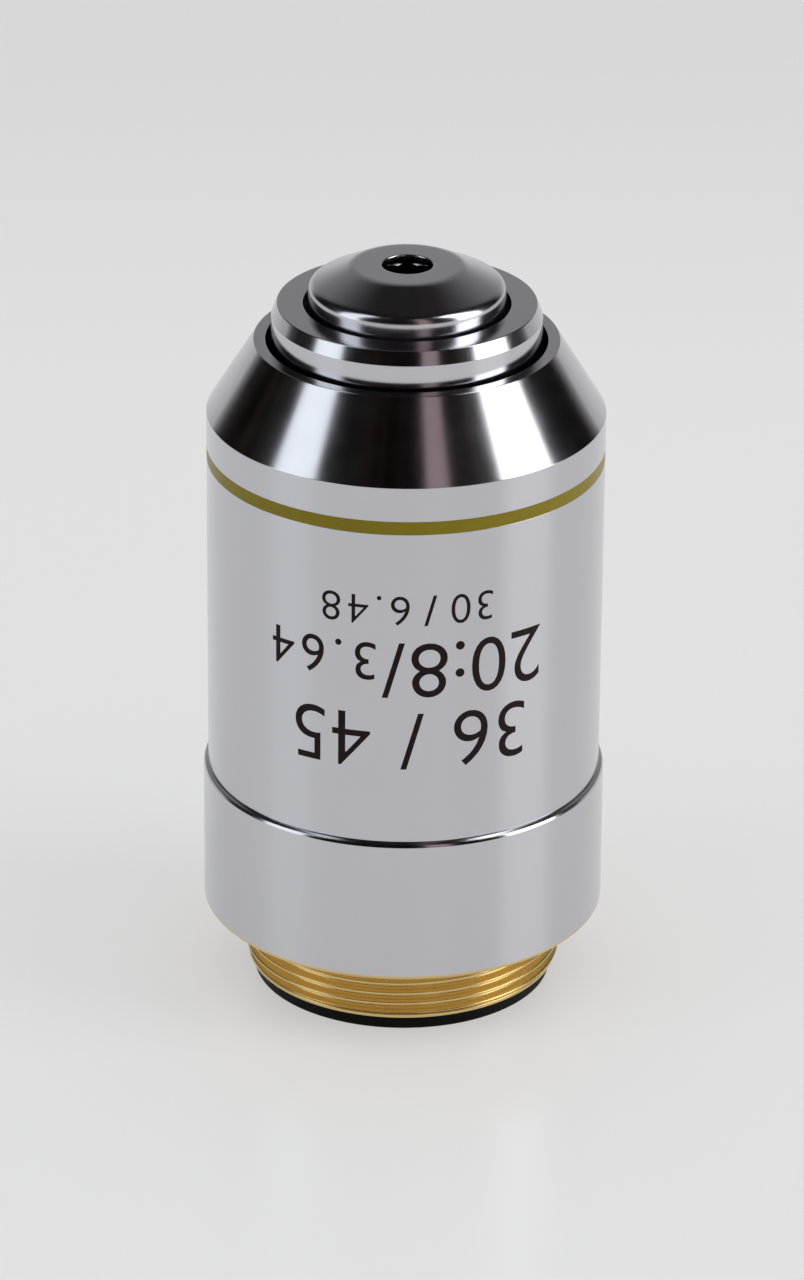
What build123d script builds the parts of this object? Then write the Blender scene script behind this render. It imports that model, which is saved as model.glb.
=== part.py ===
from build123d import *
from math import copysign, sqrt
import os

# Low-power microscope objective with the standard 20.27 mm society thread.
# Millimetres. The origin is the centre of the rear end face, and +Z runs along
# the optical axis towards the specimen. Every piece is turned about that axis.
# Heights are worked out from the rear end up, and the lens train hangs from the
# front shoulder of the inner barrel, with one spacer that takes up what is left.
# Radii are worked out from the lenses outwards, which makes the barrel 16.9 mm,
# the sleeve 25.0 mm and the base ring 25.6 mm across.

# Threads are plain cylinders of the thread's major size, with this radial play.
thread_play = 0.05
cell_play = 0.02
lens_play = 0.02

# Rear stop ring, which closes the threaded neck
rear_ring_height = 0.94
rear_ring_setback = 0.585
rear_spigot_length = 2.5
rear_spigot_wall = 1.85
rear_bore_radius = 5.6
rear_mouth_widening = 1.0

# Mount base: threaded neck, base ring and the spigot that the sleeve screws on
neck_thread_radius = 10.135
neck_thread_depth = 0.45
neck_length = 4.16
neck_lead_height = 0.4
neck_relief_width = 0.7
neck_relief_bite = 0.25
base_ring_height = 9.39
base_ring_step = 0.3
base_edge_bevel = 0.25
base_step_height = 0.25
base_seat_height = 3.5
spigot_length = 5.3
spigot_wall = 2.45
spigot_thread_step = 0.2

# Outer sleeve, one shell from the base ring to the rim round the nose
sleeve_wall = 0.9
sleeve_straight_length = 24.06
sleeve_cone_height = 4.8
cone_bore_drop = 1.6
mouth_gap = 0.35
mouth_land = 1.2
rim_width = 0.75

# Colour band, enamel in a shallow groove
band_width = 0.85
band_below_cone = 2.22
band_depth = 0.15

# Inner barrel and its parfocal lock ring
barrel_wall = 1.43
barrel_thread_step = 0.45
barrel_projection = 2.4
barrel_bevel_height = 0.85
barrel_bevel_width = 0.35
barrel_end_gap = 0.6
counterbore_depth = 1.5
lock_ring_height = 2.4
lock_ring_inset = 0.4
lock_thread_run_out = 1.5

# Front cell, the nose that holds the front lens
nose_height = 3.85
nose_shoulder = 0.75
nose_gap = 0.32
nose_cone_width = 2.4
nose_cone_height = 1.3
nose_wall = 1.5
nose_spigot_length = 3.2
nose_spigot_end_gap = 0.45
front_hole_radius = 1.59
front_hole_land = 0.25
shim_thickness = 0.15

# Cells, lens rings and spacers
cell_wall = 0.8
cell_recess = 0.2
ring_step = 0.6
ring_height = 1.35
ring_recess = 0.1
stack_ring_height = 1.7
stack_ring_recess = 0.4
cell_spacer_height = 1.4
spacer_wall = 1.0
baffle_pitch = 0.9
baffle_depth = 0.35
stop_thickness = 0.8
stop_radius = 4.5
slot_width = 0.9
slot_depth = 0.6

# Lenses. A surface's radius of curvature is positive when its centre lies
# behind it. A thickness is on the axis, and an edge is the height of the rim of
# a bulging lens. With these glasses the paraxial focal length is 18 mm:
# lanthanum crown, crown, fluor crown and dense flint, dense flint and crown.
front_lens_radius = 3.3
front_lens_recess = 1.4
front_lens_thickness = 3.3
front_lens_face = -5.0
front_lens_back = -6.6
front_lens_flat = 1.0
front_lens_clear = 2.9

second_lens_radius = 4.6
second_lens_edge = 1.78
second_lens_face = 60.0
second_lens_back = -13.0

middle_lens_radius = 5.4
middle_crown_edge = 1.58
middle_flint_thickness = 1.5
middle_lens_face = 16.0
middle_lens_joint = -9.5
middle_lens_back = 21.8

rear_lens_radius = 5.6
rear_flint_thickness = 1.5
rear_crown_edge = 1.0
rear_lens_face = 24.0
rear_lens_joint = 9.0
rear_lens_back = -24.4

lens_margin = 0.6

# Heights of the casing, worked out from the rear end
neck_z = rear_ring_height
shoulder_z = neck_z + neck_length
base_step_z = shoulder_z + base_ring_height
sleeve_seat_z = base_step_z + base_step_height
cone_z = sleeve_seat_z + sleeve_straight_length
rim_z = cone_z + sleeve_cone_height
barrel_face_z = rim_z + barrel_projection
nose_seat_z = barrel_face_z - counterbore_depth
nose_shoulder_z = nose_seat_z + shim_thickness
nose_face_z = nose_shoulder_z + nose_height
stack_top_z = nose_seat_z - nose_spigot_length + shim_thickness - nose_spigot_end_gap
barrel_seat_z = shoulder_z + base_seat_height
barrel_rear_z = barrel_seat_z + barrel_end_gap
lock_ring_z = sleeve_seat_z + spigot_length

# Radii that follow from the lenses outwards
cell_radius = max(second_lens_radius, middle_lens_radius, rear_lens_radius) + ring_step + cell_wall
barrel_bore_radius = cell_radius + cell_play
barrel_radius = barrel_bore_radius + barrel_wall
barrel_thread_radius = barrel_radius + barrel_thread_step
mouth_radius = barrel_radius + mouth_gap
rim_radius = mouth_radius + rim_width
spigot_radius = barrel_thread_radius + thread_play + spigot_wall
sleeve_bore_radius = spigot_radius + spigot_thread_step
sleeve_radius = sleeve_bore_radius + sleeve_wall
base_ring_radius = sleeve_radius + base_ring_step
nose_spigot_radius = front_lens_radius + ring_step + nose_wall
nose_radius = nose_spigot_radius + nose_shoulder
counterbore_radius = nose_radius + nose_gap

# Radii of the threaded neck and its stop ring
neck_root_radius = neck_thread_radius - neck_thread_depth
rear_ring_radius = neck_thread_radius - rear_ring_setback
rear_spigot_radius = rear_bore_radius + rear_spigot_wall


def turned(*outline):
    """Revolve a closed outline of (radius, height) points about the optical axis."""
    with BuildPart() as piece:
        with BuildSketch(Plane.XZ):
            with BuildLine():
                Polyline(*outline, close=True)
            make_face()
        revolve(axis=Axis.Z)
    return piece.part


def sag(curvature, radius):
    """How far a spherical surface drops below its vertex at this radius."""
    return curvature - copysign(sqrt(curvature**2 - radius**2), curvature)


def thickness(edge, face, back, radius):
    """Axial thickness of a lens whose rim is this high."""
    return edge + sag(face, radius) - sag(back, radius)


def surface(vertex_z, curvature, radius):
    """Arc of a spherical surface from the axis out to this radius."""
    middle = (radius / 2, vertex_z - sag(curvature, radius / 2))
    edge = (radius, vertex_z - sag(curvature, radius))
    return ThreePointArc((0, vertex_z), middle, edge)


def lens(face_z, face, back_z, back, radius, flat=0.0):
    """A ground lens. A flat is the width of the plane rim round a hollow face."""
    with BuildPart() as glass:
        with BuildSketch(Plane.XZ):
            with BuildLine():
                front = surface(face_z, face, radius - flat)
                rear = surface(back_z, back, radius)
                if flat:
                    rim = Line(front @ 1, (radius, (front @ 1).Y))
                    Line(rim @ 1, rear @ 1)
                else:
                    Line(front @ 1, rear @ 1)
                Line(rear @ 0, front @ 0)
            make_face()
        revolve(axis=Axis.Z)
    return glass.part


def slotted_ring(outer_radius, bore_radius, bottom_z, height, slots_up=False):
    """A threaded ring with two spanner slots across one of its faces."""
    ring = turned(
        (bore_radius, bottom_z),
        (outer_radius, bottom_z),
        (outer_radius, bottom_z + height),
        (bore_radius, bottom_z + height),
    )
    slot_z = bottom_z + height - slot_depth / 2 if slots_up else bottom_z + slot_depth / 2
    slot_length = 2 * outer_radius + slot_width
    return ring - Pos(0, 0, slot_z) * Box(slot_length, slot_width, slot_depth)


def lens_cell(top_z, seat_z, ring_top_z, lens_radius):
    """A cell whose front lip carries the lens, bored and threaded from behind."""
    clear_radius = lens_radius - lens_margin
    lens_bore_radius = lens_radius + lens_play
    ring_bore_radius = lens_radius + ring_step
    ring_stop_z = ring_top_z + ring_recess
    bottom_z = ring_top_z - ring_height - ring_recess
    return turned(
        (clear_radius, top_z),
        (clear_radius, seat_z),
        (lens_bore_radius, seat_z),
        (lens_bore_radius, ring_stop_z),
        (ring_bore_radius, ring_stop_z),
        (ring_bore_radius, bottom_z),
        (cell_radius, bottom_z),
        (cell_radius, top_z),
    )


def lens_ring(ring_top_z, lens_radius):
    """The ring that holds a lens in its cell from behind."""
    outer_radius = lens_radius + ring_step - thread_play
    clear_radius = lens_radius - lens_margin
    return slotted_ring(outer_radius, clear_radius, ring_top_z - ring_height, ring_height)


def rear_stop_ring():
    """Blackened ring with a flaring bore, screwed into the end of the neck."""
    spigot_z = neck_z + rear_spigot_length
    return turned(
        (rear_bore_radius + rear_mouth_widening, 0),
        (rear_ring_radius, 0),
        (rear_ring_radius, neck_z),
        (rear_spigot_radius, neck_z),
        (rear_spigot_radius, spigot_z),
        (rear_bore_radius, spigot_z),
    )


def mount_base():
    """Threaded neck, base ring and sleeve spigot, turned from one bar."""
    neck_bore_radius = rear_spigot_radius + thread_play
    barrel_bore = barrel_thread_radius + thread_play
    relief_z = shoulder_z - neck_relief_width
    return turned(
        (neck_bore_radius, neck_z),
        (neck_root_radius, neck_z),
        (neck_thread_radius, neck_z + neck_lead_height),
        (neck_thread_radius, relief_z),
        (neck_root_radius, relief_z),
        (neck_root_radius, shoulder_z + neck_relief_bite),
        (neck_thread_radius + neck_relief_bite, shoulder_z),
        (base_ring_radius - base_edge_bevel, shoulder_z),
        (base_ring_radius, shoulder_z + base_edge_bevel),
        (base_ring_radius, base_step_z),
        (sleeve_radius, sleeve_seat_z),
        (spigot_radius, sleeve_seat_z),
        (spigot_radius, lock_ring_z),
        (barrel_bore, lock_ring_z),
        (barrel_bore, barrel_seat_z),
        (neck_bore_radius, barrel_seat_z),
    )


def outer_sleeve():
    """Sleeve, cone and rim as one shell, with the groove for the colour band."""
    groove_radius = sleeve_radius - band_depth
    groove_top_z = cone_z - band_below_cone
    groove_bottom_z = groove_top_z - band_width
    return turned(
        (spigot_radius + thread_play, sleeve_seat_z),
        (sleeve_radius, sleeve_seat_z),
        (sleeve_radius, groove_bottom_z),
        (groove_radius, groove_bottom_z),
        (groove_radius, groove_top_z),
        (sleeve_radius, groove_top_z),
        (sleeve_radius, cone_z),
        (rim_radius, rim_z),
        (mouth_radius, rim_z),
        (mouth_radius, rim_z - mouth_land),
        (sleeve_bore_radius, cone_z - cone_bore_drop),
        (sleeve_bore_radius, lock_ring_z),
        (spigot_radius + thread_play, lock_ring_z),
    )


def colour_band():
    """Enamel that fills the groove flush with the sleeve."""
    top_z = cone_z - band_below_cone
    return turned(
        (sleeve_radius - band_depth, top_z - band_width),
        (sleeve_radius, top_z - band_width),
        (sleeve_radius, top_z),
        (sleeve_radius - band_depth, top_z),
    )


def inner_barrel():
    """Barrel that carries the whole lens train and shows round the nose."""
    thread_top_z = lock_ring_z + lock_ring_height + lock_thread_run_out
    ring_bore_radius = barrel_bore_radius + thread_play
    ring_stop_z = rear_cell_z + ring_recess
    nose_bore_radius = nose_spigot_radius + thread_play
    return turned(
        (ring_bore_radius, barrel_rear_z),
        (barrel_thread_radius, barrel_rear_z),
        (barrel_thread_radius, thread_top_z),
        (barrel_radius, thread_top_z),
        (barrel_radius, barrel_face_z - barrel_bevel_height),
        (barrel_radius - barrel_bevel_width, barrel_face_z),
        (counterbore_radius, barrel_face_z),
        (counterbore_radius, nose_seat_z),
        (nose_bore_radius, nose_seat_z),
        (nose_bore_radius, stack_top_z),
        (barrel_bore_radius, stack_top_z),
        (barrel_bore_radius, ring_stop_z),
        (ring_bore_radius, ring_stop_z),
    )


def parfocal_lock_ring():
    """Ring that locks the barrel's height in the base."""
    return slotted_ring(
        spigot_radius - lock_ring_inset,
        barrel_thread_radius + thread_play,
        lock_ring_z,
        lock_ring_height,
        slots_up=True,
    )


def front_cell():
    """The nose: collar, shallow cone and small mouth, on a threaded spigot."""
    lip_radius = front_lens_radius - front_lens_flat + lens_play
    lens_bore_radius = front_lens_radius + lens_play
    ring_bore_radius = front_lens_radius + ring_step
    return turned(
        (front_hole_radius, nose_face_z),
        (nose_radius - nose_cone_width, nose_face_z),
        (nose_radius, nose_face_z - nose_cone_height),
        (nose_radius, nose_shoulder_z),
        (nose_spigot_radius, nose_shoulder_z),
        (nose_spigot_radius, nose_shoulder_z - nose_spigot_length),
        (ring_bore_radius, nose_shoulder_z - nose_spigot_length),
        (ring_bore_radius, front_ring_z + ring_recess),
        (lens_bore_radius, front_ring_z + ring_recess),
        (lens_bore_radius, front_seat_z),
        (lip_radius, front_seat_z),
        (front_hole_radius, nose_face_z - front_hole_land),
    )


def front_lens_ring():
    """Ring that holds the front lens against the lip of the nose."""
    outer_radius = front_lens_radius + ring_step - thread_play
    return slotted_ring(outer_radius, front_lens_clear, front_ring_z - ring_height, ring_height)


def front_shim():
    """Thin washer that sets the air space behind the front lens."""
    return turned(
        (nose_spigot_radius + thread_play, nose_seat_z),
        (nose_radius, nose_seat_z),
        (nose_radius, nose_shoulder_z),
        (nose_spigot_radius + thread_play, nose_shoulder_z),
    )


def plain_spacer(bottom_z, height):
    """Plain ring between two cells."""
    return turned(
        (cell_radius - spacer_wall, bottom_z),
        (cell_radius, bottom_z),
        (cell_radius, bottom_z + height),
        (cell_radius - spacer_wall, bottom_z + height),
    )


def baffled_spacer(bottom_z, top_z):
    """Long spacer with sharp grooves in its bore against stray light."""
    crest_radius = cell_radius - spacer_wall
    count = max(1, int((top_z - bottom_z) / baffle_pitch))
    pitch = (top_z - bottom_z) / count
    grooves = []
    for turn in range(count):
        crest_z = bottom_z + turn * pitch
        grooves += [(crest_radius, crest_z), (crest_radius + baffle_depth, crest_z + pitch / 2)]
    return turned(*grooves, (crest_radius, top_z), (cell_radius, top_z), (cell_radius, bottom_z))


def aperture_stop():
    """Disc whose sharp-edged hole limits the beam."""
    return turned(
        (stop_radius, stop_z),
        (cell_radius, stop_z),
        (cell_radius, stop_z + stop_thickness),
        (stop_radius + stop_thickness / 2, stop_z + stop_thickness),
    )


def stack_ring():
    """Ring that clamps cells, spacers and stop against the barrel's shoulder."""
    return slotted_ring(
        barrel_bore_radius,
        rear_lens_radius - lens_margin + cell_recess,
        rear_cell_z - stack_ring_height,
        stack_ring_height,
    )


# Front lens, measured from the face of the nose
front_lens_z = nose_face_z - front_lens_recess
front_lens_back_z = front_lens_z - front_lens_thickness
front_seat_z = front_lens_z - sag(front_lens_face, front_lens_radius - front_lens_flat)
front_ring_z = front_lens_back_z - sag(front_lens_back, front_lens_clear)

# Second lens, under the front shoulder of the barrel. A cell's seat and its
# ring touch the glass at the edge of the clear aperture where the surface
# bulges, and at the rim of the glass where it is hollow.
second_clear = second_lens_radius - lens_margin
second_lens_z = stack_top_z - cell_recess
second_back_z = second_lens_z - thickness(
    second_lens_edge, second_lens_face, second_lens_back, second_lens_radius,
)
second_seat_z = second_lens_z - sag(second_lens_face, second_clear)
second_ring_z = second_back_z - sag(second_lens_back, second_clear)
second_cell_bottom_z = second_ring_z - ring_height - ring_recess

# Middle doublet, behind the plain spacer
middle_clear = middle_lens_radius - lens_margin
middle_cell_z = second_cell_bottom_z - cell_spacer_height
middle_lens_z = middle_cell_z - cell_recess
middle_joint_z = middle_lens_z - thickness(
    middle_crown_edge, middle_lens_face, middle_lens_joint, middle_lens_radius,
)
middle_back_z = middle_joint_z - middle_flint_thickness
middle_seat_z = middle_lens_z - sag(middle_lens_face, middle_clear)
middle_ring_z = middle_back_z - sag(middle_lens_back, middle_lens_radius)
middle_cell_bottom_z = middle_ring_z - ring_height - ring_recess

# Rear doublet and stop, measured up from the rear end of the barrel
rear_clear = rear_lens_radius - lens_margin
rear_cell_z = barrel_rear_z + stack_ring_recess + stack_ring_height
rear_ring_z = rear_cell_z + ring_recess + ring_height
rear_back_z = rear_ring_z + sag(rear_lens_back, rear_clear)
rear_joint_z = rear_back_z + thickness(
    rear_crown_edge, rear_lens_joint, rear_lens_back, rear_lens_radius,
)
rear_lens_z = rear_joint_z + rear_flint_thickness
rear_seat_z = rear_lens_z - sag(rear_lens_face, rear_clear)
stop_z = rear_lens_z + cell_recess
spacer_z = stop_z + stop_thickness

pieces = {
    "rear_stop_ring": rear_stop_ring(),
    "mount_base": mount_base(),
    "outer_sleeve": outer_sleeve(),
    "colour_band": colour_band(),
    "inner_barrel": inner_barrel(),
    "parfocal_lock_ring": parfocal_lock_ring(),
    "front_cell": front_cell(),
    "front_shim": front_shim(),
    "front_lens": lens(
        front_lens_z, front_lens_face, front_lens_back_z, front_lens_back,
        front_lens_radius, front_lens_flat,
    ),
    "front_lens_ring": front_lens_ring(),
    "second_cell": lens_cell(stack_top_z, second_seat_z, second_ring_z, second_lens_radius),
    "second_lens": lens(
        second_lens_z, second_lens_face, second_back_z, second_lens_back, second_lens_radius,
    ),
    "second_lens_ring": lens_ring(second_ring_z, second_lens_radius),
    "cell_spacer": plain_spacer(middle_cell_z, cell_spacer_height),
    "middle_cell": lens_cell(middle_cell_z, middle_seat_z, middle_ring_z, middle_lens_radius),
    "middle_crown_lens": lens(
        middle_lens_z, middle_lens_face, middle_joint_z, middle_lens_joint, middle_lens_radius,
    ),
    "middle_flint_lens": lens(
        middle_joint_z, middle_lens_joint, middle_back_z, middle_lens_back, middle_lens_radius,
    ),
    "middle_lens_ring": lens_ring(middle_ring_z, middle_lens_radius),
    "baffled_spacer": baffled_spacer(spacer_z, middle_cell_bottom_z),
    "aperture_stop": aperture_stop(),
    "rear_cell": lens_cell(stop_z, rear_seat_z, rear_ring_z, rear_lens_radius),
    "rear_flint_lens": lens(
        rear_lens_z, rear_lens_face, rear_joint_z, rear_lens_joint, rear_lens_radius,
    ),
    "rear_crown_lens": lens(
        rear_joint_z, rear_lens_joint, rear_back_z, rear_lens_back, rear_lens_radius,
    ),
    "rear_lens_ring": lens_ring(rear_ring_z, rear_lens_radius),
    "stack_ring": stack_ring(),
}

os.makedirs("parts", exist_ok=True)
for node, piece in pieces.items():
    export_step(piece, f"parts/{node}.step")
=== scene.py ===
"""Dresses the microscope objective: plated, polished, blackened and bare brass finishes, a cut
thread, coated lenses and filled numbers, on a pale table between two softboxes."""

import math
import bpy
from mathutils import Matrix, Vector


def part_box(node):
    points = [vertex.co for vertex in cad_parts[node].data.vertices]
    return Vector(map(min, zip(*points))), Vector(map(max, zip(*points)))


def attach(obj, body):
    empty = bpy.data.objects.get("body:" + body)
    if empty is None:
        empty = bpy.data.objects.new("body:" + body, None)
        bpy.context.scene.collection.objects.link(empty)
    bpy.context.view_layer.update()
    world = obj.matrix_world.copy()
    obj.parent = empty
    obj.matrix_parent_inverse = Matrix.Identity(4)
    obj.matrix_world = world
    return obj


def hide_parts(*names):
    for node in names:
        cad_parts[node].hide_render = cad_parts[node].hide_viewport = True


bl_info = {
    "name": "Microscope objective",
    "version": (1, 0, 0),
    "blender": (4, 5, 0),
    "location": "View3D > Sidebar > Objective",
    "description": "Builds the visible pieces of a low-power objective and its studio",
    "category": "Object",
}

from collections import namedtuple

import bmesh
import bpy
from mathutils import Matrix, Vector

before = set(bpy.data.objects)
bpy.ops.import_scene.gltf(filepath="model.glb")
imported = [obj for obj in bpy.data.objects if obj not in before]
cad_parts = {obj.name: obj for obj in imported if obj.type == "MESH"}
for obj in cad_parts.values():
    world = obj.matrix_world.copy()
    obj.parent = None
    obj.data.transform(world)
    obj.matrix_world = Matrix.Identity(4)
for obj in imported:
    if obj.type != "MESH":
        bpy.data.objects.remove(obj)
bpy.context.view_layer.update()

MM = 0.001
BODY = "root"
SEAM_WELD = 0.0005 * MM
JOIN_WELD = 0.001 * MM
SLICE_WELD = 0.0002 * MM

Turned = namedtuple("Turned", "radius bottom top")


# Sizes that come from the frame
def turned_size(node):
    """Outer radius, bottom height and top height of a turned node, in metres."""
    low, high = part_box(node)
    return Turned(high.x, low.z, high.z)


sleeve_radius, sleeve_bottom, sleeve_top = turned_size("outer_sleeve")
base_radius, neck_bottom, base_top = turned_size("mount_base")
band_radius, band_bottom, band_top = turned_size("colour_band")
barrel_thread_radius, barrel_bottom, barrel_top = turned_size("inner_barrel")
nose_radius, nose_bottom, nose_top = turned_size("front_cell")
stop_ring_radius, stop_ring_bottom, stop_ring_top = turned_size("rear_stop_ring")
shim_bottom = turned_size("front_shim").bottom
shim_top = turned_size("front_shim").top
lock_ring_top = turned_size("parfocal_lock_ring").top
stack_ring_radius = turned_size("stack_ring").radius
rear_cell_bottom = turned_size("rear_cell").bottom
second_cell_top = turned_size("second_cell").top
front_lens_radius = turned_size("front_lens").radius
front_lens_top = turned_size("front_lens").top
front_ring_top = turned_size("front_lens_ring").top


# Colours
def linear(code):
    """Linear red, green, blue and alpha of an sRGB hex colour."""
    channels = [int(code[i:i + 2], 16) / 255 for i in (1, 3, 5)]
    return [c / 12.92 if c <= 0.04045 else ((c + 0.055) / 1.055) ** 2.4 for c in channels] + [1.0]


def colour(name, description, code):
    """A colour property whose default is an sRGB hex colour."""
    return bpy.props.FloatVectorProperty(
        name=name, description=description, subtype="COLOR", size=4, min=0, max=1, default=linear(code)
    )


def length(name, description, millimetres):
    """A length property whose default is given in millimetres."""
    return bpy.props.FloatProperty(
        name=name, description=description, unit="LENGTH", precision=5, default=millimetres * MM
    )


def angle(name, description, degrees):
    """An angle property whose default is given in degrees."""
    return bpy.props.FloatProperty(
        name=name, description=description, subtype="ANGLE", default=math.radians(degrees)
    )


def amount(name, description, value):
    """A plain number that is never negative."""
    return bpy.props.FloatProperty(name=name, description=description, min=0, default=value)


# Settings
class TurningSettings(bpy.types.PropertyGroup):
    """How the turned pieces are cut."""

    segments: bpy.props.IntProperty(
        name="Segments", description="Flats round a turned piece", min=32, max=512, default=256
    )
    edge: length("Edge", "Radius of a broken edge", 0.07)
    sharp_edge: length("Sharp edge", "Radius of an edge left sharp", 0.02)


class CasingSettings(bpy.types.PropertyGroup):
    """Sleeve, cone, band and base."""

    cone_height: length("Cone height", "Height of the polished cone", 4.8)
    rim_width: length("Rim width", "Width of the flat rim round the barrel", 0.75)
    mouth_gap: length("Mouth gap", "Gap between the rim and the barrel", 0.35)
    mouth_land: length("Mouth land", "Height of the straight mouth", 1.2)
    cone_bore_drop: length("Cone bore drop", "Start of the inner cone below the outer one", 1.6)
    wall: length("Wall", "Wall of the sleeve", 0.9)
    seat_step: length("Seat step", "Step of the spigot that the sleeve screws on", 0.2)
    thread_play: length("Thread play", "Radial play of the hidden threads", 0.05)
    band_depth: length("Band depth", "Depth of the groove that the enamel fills", 0.15)
    base_bevel: length("Base bevel", "Bevel at the lower edge of the base ring", 0.25)
    bare_edge: length("Bare edge", "Brass that the plating leaves bare over the bevel", 0.1)
    base_step: length("Base step", "Height of the step that meets the sleeve", 0.25)
    step_bevel: length("Step bevel", "Width of the steep bevel on that step", 0.08)
    step_ledge: length("Step ledge", "Height of the shallow ledge behind it", 0.08)
    shoulder: length("Shoulder", "Height of the seating shoulder", 5.1)
    barrel_seat: length("Barrel seat", "Height of the seat over the shoulder", 3.5)
    chrome: colour("Chrome", "Chrome plate", "#cbcbd0")
    brass: colour("Brass", "Bare brass", "#dfc486")
    enamel: colour("Enamel", "Enamel of the band", "#807212")


class NeckSettings(bpy.types.PropertyGroup):
    """The objective thread."""

    pitch: length("Pitch", "One turn in 36 to the inch", 0.7056)
    depth: length("Depth", "Depth of the thread", 0.45)
    crest_radius: length("Crest radius", "Radius over the crests", 10.135)
    land: length("Land", "Height of the plain end of the neck", 0.26)
    land_radius: length("Land radius", "Radius of the plain end of the neck", 9.93)
    lead: length("Lead", "Height of the chamfer at the start", 0.2)
    relief: length("Relief", "Width of the groove under the shoulder", 0.7)
    bite: length("Bite", "How far the groove bites into the shoulder", 0.25)
    rows: bpy.props.IntProperty(
        name="Rows", description="Rows of faces in one pitch", min=4, max=24, default=24
    )


class BarrelSettings(bpy.types.PropertyGroup):
    """Inner barrel, nose and rear stop ring."""

    thread_step: length("Thread step", "Step between barrel and thread", 0.45)
    thread_run_out: length("Run-out", "Thread left over the lock ring", 1.5)
    bevel_height: length("Bevel height", "Height of the front bevel", 0.85)
    bevel_width: length("Bevel width", "Width of the front bevel", 0.35)
    nose_gap: length("Nose gap", "Gap round the collar of the nose", 0.32)
    cone_width: length("Cone width", "Width of the cone of the nose", 2.65)
    cone_height: length("Cone height", "Height of the cone of the nose", 1.3)
    nose_shoulder: length("Nose shoulder", "Overhang of the collar", 0.75)
    collar_edge: length("Collar edge", "Rounding between collar and cone", 0.7)
    crown_edge: length("Crown edge", "Rounding between cone and flat face", 1.0)
    hole_edge: length("Hole edge", "Rounding of the mouth of the hole", 0.22)
    hole_radius: length("Hole", "Radius of the front hole", 1.59)
    hole_land: length("Hole land", "Height of the straight part of the hole", 0.25)
    lens_flat: length("Lens flat", "Flat rim round the hollow front face", 1.0)
    lens_play: length("Lens play", "Radial play of a lens", 0.02)
    ring_step: length("Ring step", "Step between a lens bore and its thread", 0.6)
    ring_recess: length("Ring recess", "Run-out over a ring", 0.1)
    rear_bore: length("Rear bore", "Radius of the rear light stop", 5.6)
    rear_widening: length("Rear widening", "Flare of the rear light stop", 1.0)
    rear_spigot_wall: length("Rear spigot wall", "Wall of the stop ring's spigot", 1.85)
    black: colour("Black", "Black anodising", "#0a0a09")


class MarkingSettings(bpy.types.PropertyGroup):
    """Plain numbers, read with the objective hanging on its thread."""

    colour: colour("Filling", "Paint that fills the engraving", "#1e1011")
    thickness: length("Thickness", "Thickness of the filling", 0.02)
    slice_width: length("Slice width", "Widest flat of a number bent round the sleeve", 0.25)


class StudioSettings(bpy.types.PropertyGroup):
    """Table, softboxes and backdrop."""

    table_gap: length("Table gap", "Gap that keeps the rear face from merging with the table", 0.02)
    table: colour("Table", "Pale acrylic table", "#e0e0e0")
    backdrop: colour("Backdrop", "Pale backdrop", "#dadada")
    dark: colour("Dark", "Dark studio round the backdrop", "#060505")
    glimmer: colour("Glimmer", "Warm patches in the dark studio", "#3c2d29")
    room: colour("Room", "Warm room behind the camera", "#d0b8bb")
    right_radiance: amount("Right radiance", "Radiance of the right softbox", 3.1)
    left_radiance: amount("Left radiance", "Radiance of the left softbox", 1.5)
    left_tint: colour("Left tint", "Cool light of the left softbox", "#f4faff")
    fill: amount("Fill", "How light the overhead lamp alone makes a white table", 0.78)
    room_radiance: amount("Room radiance", "Radiance of the strip of lit room behind the camera", 0.62)
    distance: length("Distance", "Distance of the softboxes", 800)
    height: length("Height", "Height of the softboxes", 1700)
    fill_size: length("Fill size", "Side of the overhead light", 2500)
    fill_height: length("Fill height", "Height of the overhead light", 1500)
    right_azimuth: angle("Right azimuth", "From the camera to the right softbox", 75.5)
    right_spread: angle("Right spread", "Width of the right softbox", 32)
    left_azimuth: angle("Left azimuth", "From the camera to the left softbox", -69)
    left_spread: angle("Left spread", "Width of the left softbox", 26)
    room_azimuth: angle("Room azimuth", "From the camera to the lit room", 20)
    room_spread: angle("Room spread", "Width of the lit room", 14)


# Nodes and materials
def add_node(tree, kind, inputs=None, **settings):
    """Add a node. Settings are its own properties, and inputs are values, sockets or nodes by name or
    number. A node stands for its first output."""
    node = tree.nodes.new(kind)
    for name, value in settings.items():
        setattr(node, name, value)
    for key, value in (inputs or {}).items():
        if isinstance(value, bpy.types.Node):
            value = value.outputs[0]
        if isinstance(value, bpy.types.NodeSocket):
            tree.links.new(value, node.inputs[key])
        else:
            node.inputs[key].default_value = value
    return node


def new_material(name):
    """An empty node material, and its tree."""
    material = bpy.data.materials.new(name)
    material.use_nodes = True
    material.node_tree.nodes.clear()
    return material, material.node_tree


def finish_material(material, tree, shader):
    """Link the last shader to the surface."""
    add_node(tree, "ShaderNodeOutputMaterial", {"Surface": shader})
    return material


def turning_line(tree):
    """Distance along the tool's path over a turned face: height plus radius."""
    place = add_node(tree, "ShaderNodeTexCoord").outputs["Object"]
    height = add_node(tree, "ShaderNodeSeparateXYZ", {0: place}).outputs["Z"]
    flat = add_node(tree, "ShaderNodeVectorMath", {0: place, 1: (1, 1, 0)}, operation="MULTIPLY")
    radius = add_node(tree, "ShaderNodeVectorMath", {0: flat}, operation="LENGTH").outputs["Value"]
    return add_node(tree, "ShaderNodeMath", {0: height, 1: radius})


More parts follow.
